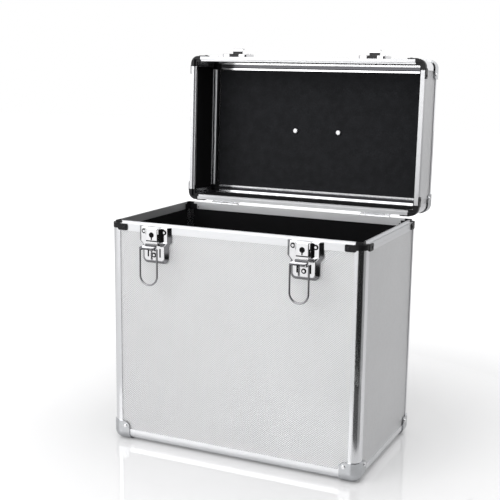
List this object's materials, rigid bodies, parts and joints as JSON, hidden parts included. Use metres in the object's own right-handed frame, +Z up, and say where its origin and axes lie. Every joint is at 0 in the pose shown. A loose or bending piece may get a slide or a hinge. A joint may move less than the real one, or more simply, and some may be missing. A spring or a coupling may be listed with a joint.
{
  "type": "record carrying case",
  "caption": "Upright carrying case for records with aluminium edge profiles, riveted corner caps, an open hinged lid, two front latches and a folding handle.",
  "frame": {"origin": "on the floor, under the middle of the open case's outline", "axes": "+X to the case's right seen from the latches, +Y to the hinges, +Z up"},
  "size_m": [0.3702, 0.3434, 0.545],
  "materials": {
    "board": "silver laminate with a fine diamond dimple over a plywood board",
    "profile": "bright extruded, satin",
    "black_plastic": "moulded, slightly glossy",
    "cap": "pressed and zinc plated",
    "wall_lining": "thin black liner sheet",
    "felt": "dark grey felt",
    "rivet": "polished domed head",
    "screw": "black finish, domed head",
    "grip": "moulded grip",
    "handle_metal": "pressed plate",
    "hinge_steel": "pressed plate",
    "latch_steel": "nickel plated, bright"
  },
  "bodies": {
    "case": {"front_left_post": "profile", "front_right_post": "profile", "rear_left_post": "profile", "rear_right_post": "profile", "front_bottom_rail": "profile", "rear_bottom_rail": "profile", "left_bottom_rail": "profile", "right_bottom_rail": "profile", "front_panel": "board", "rear_panel": "board", "left_panel": "board", "right_panel": "board", "bottom_panel": "board", "front_rim": "profile", "rear_rim": "profile", "left_rim": "profile", "right_rim": "profile", "bottom_corner_caps": "cap", "body_rim_corners": "black_plastic", "wall_linings": "wall_lining", "floor_lining": "felt", "body_rivets": "rivet", "body_rim_screws": "screw", "left_latch_base": "latch_steel", "right_latch_base": "latch_steel", "left_lever_pin": "latch_steel", "right_lever_pin": "latch_steel", "left_hinge_leaf": "hinge_steel", "right_hinge_leaf": "hinge_steel", "left_hinge_pin": "hinge_steel", "right_hinge_pin": "hinge_steel"},
    "lid": {"lid_corner_posts": "profile", "lid_edge_rails": "profile", "lid_front_panel": "board", "lid_rear_panel": "board", "lid_left_panel": "board", "lid_right_panel": "board", "lid_top_panel": "board", "lid_rims": "profile", "lid_corner_caps": "cap", "lid_rim_corners": "black_plastic", "lid_wall_linings": "wall_lining", "lid_top_lining": "felt", "lid_angle_strips": "profile", "lid_corner_inserts": "black_plastic", "lid_rivets": "rivet", "lid_rim_screws": "screw", "left_strike": "latch_steel", "right_strike": "latch_steel", "left_lid_hinge_leaf": "hinge_steel", "right_lid_hinge_leaf": "hinge_steel", "handle_base": "handle_metal", "handle_bolts": "latch_steel"},
    "handle": {"handle_grip": "grip"},
    "left_lever": {"left_latch_lever": "latch_steel"},
    "left_wire_bail": {"left_bail": "latch_steel"},
    "left_lock": {"left_lock_bolt": "latch_steel"},
    "right_lever": {"right_latch_lever": "latch_steel"},
    "right_wire_bail": {"right_bail": "latch_steel"},
    "right_lock": {"right_lock_bolt": "latch_steel"}
  },
  "joints": [
    {"name": "lid_hinge", "type": "hinge", "parent": "case", "child": "lid", "pos_m": [0, 0.07755, 0.311], "axis": [1, 0, 0], "range_deg": [0, 92.1]},
    {"name": "handle_swing", "type": "hinge", "parent": "lid", "child": "handle", "pos_m": [0, 0.16424, 0.4211], "axis": [1, 0, 0], "range_deg": [0, 175]},
    {"name": "left_lever_swing", "type": "hinge", "parent": "case", "child": "left_lever", "pos_m": [-0.112, -0.15315, 0.305], "axis": [1, 0, 0], "range_deg": [-100, 0]},
    {"name": "left_bail_swing", "type": "hinge", "parent": "left_lever", "child": "left_wire_bail", "pos_m": [-0.112, -0.16355, 0.2827], "axis": [-1, 0, 0], "range_deg": [0, 191.4]},
    {"name": "left_lock_slide", "type": "slide", "parent": "left_lever", "child": "left_lock", "axis": [1, 0, 0], "range_m": [0, 0.0015]},
    {"name": "right_lever_swing", "type": "hinge", "parent": "case", "child": "right_lever", "pos_m": [0.104, -0.15315, 0.305], "axis": [1, 0, 0], "range_deg": [-100, 0]},
    {"name": "right_bail_swing", "type": "hinge", "parent": "right_lever", "child": "right_wire_bail", "pos_m": [0.104, -0.16355, 0.2827], "axis": [-1, 0, 0], "range_deg": [0, 191.4]},
    {"name": "right_lock_slide", "type": "slide", "parent": "right_lever", "child": "right_lock", "axis": [1, 0, 0], "range_m": [0, 0.0015]}
  ]
}
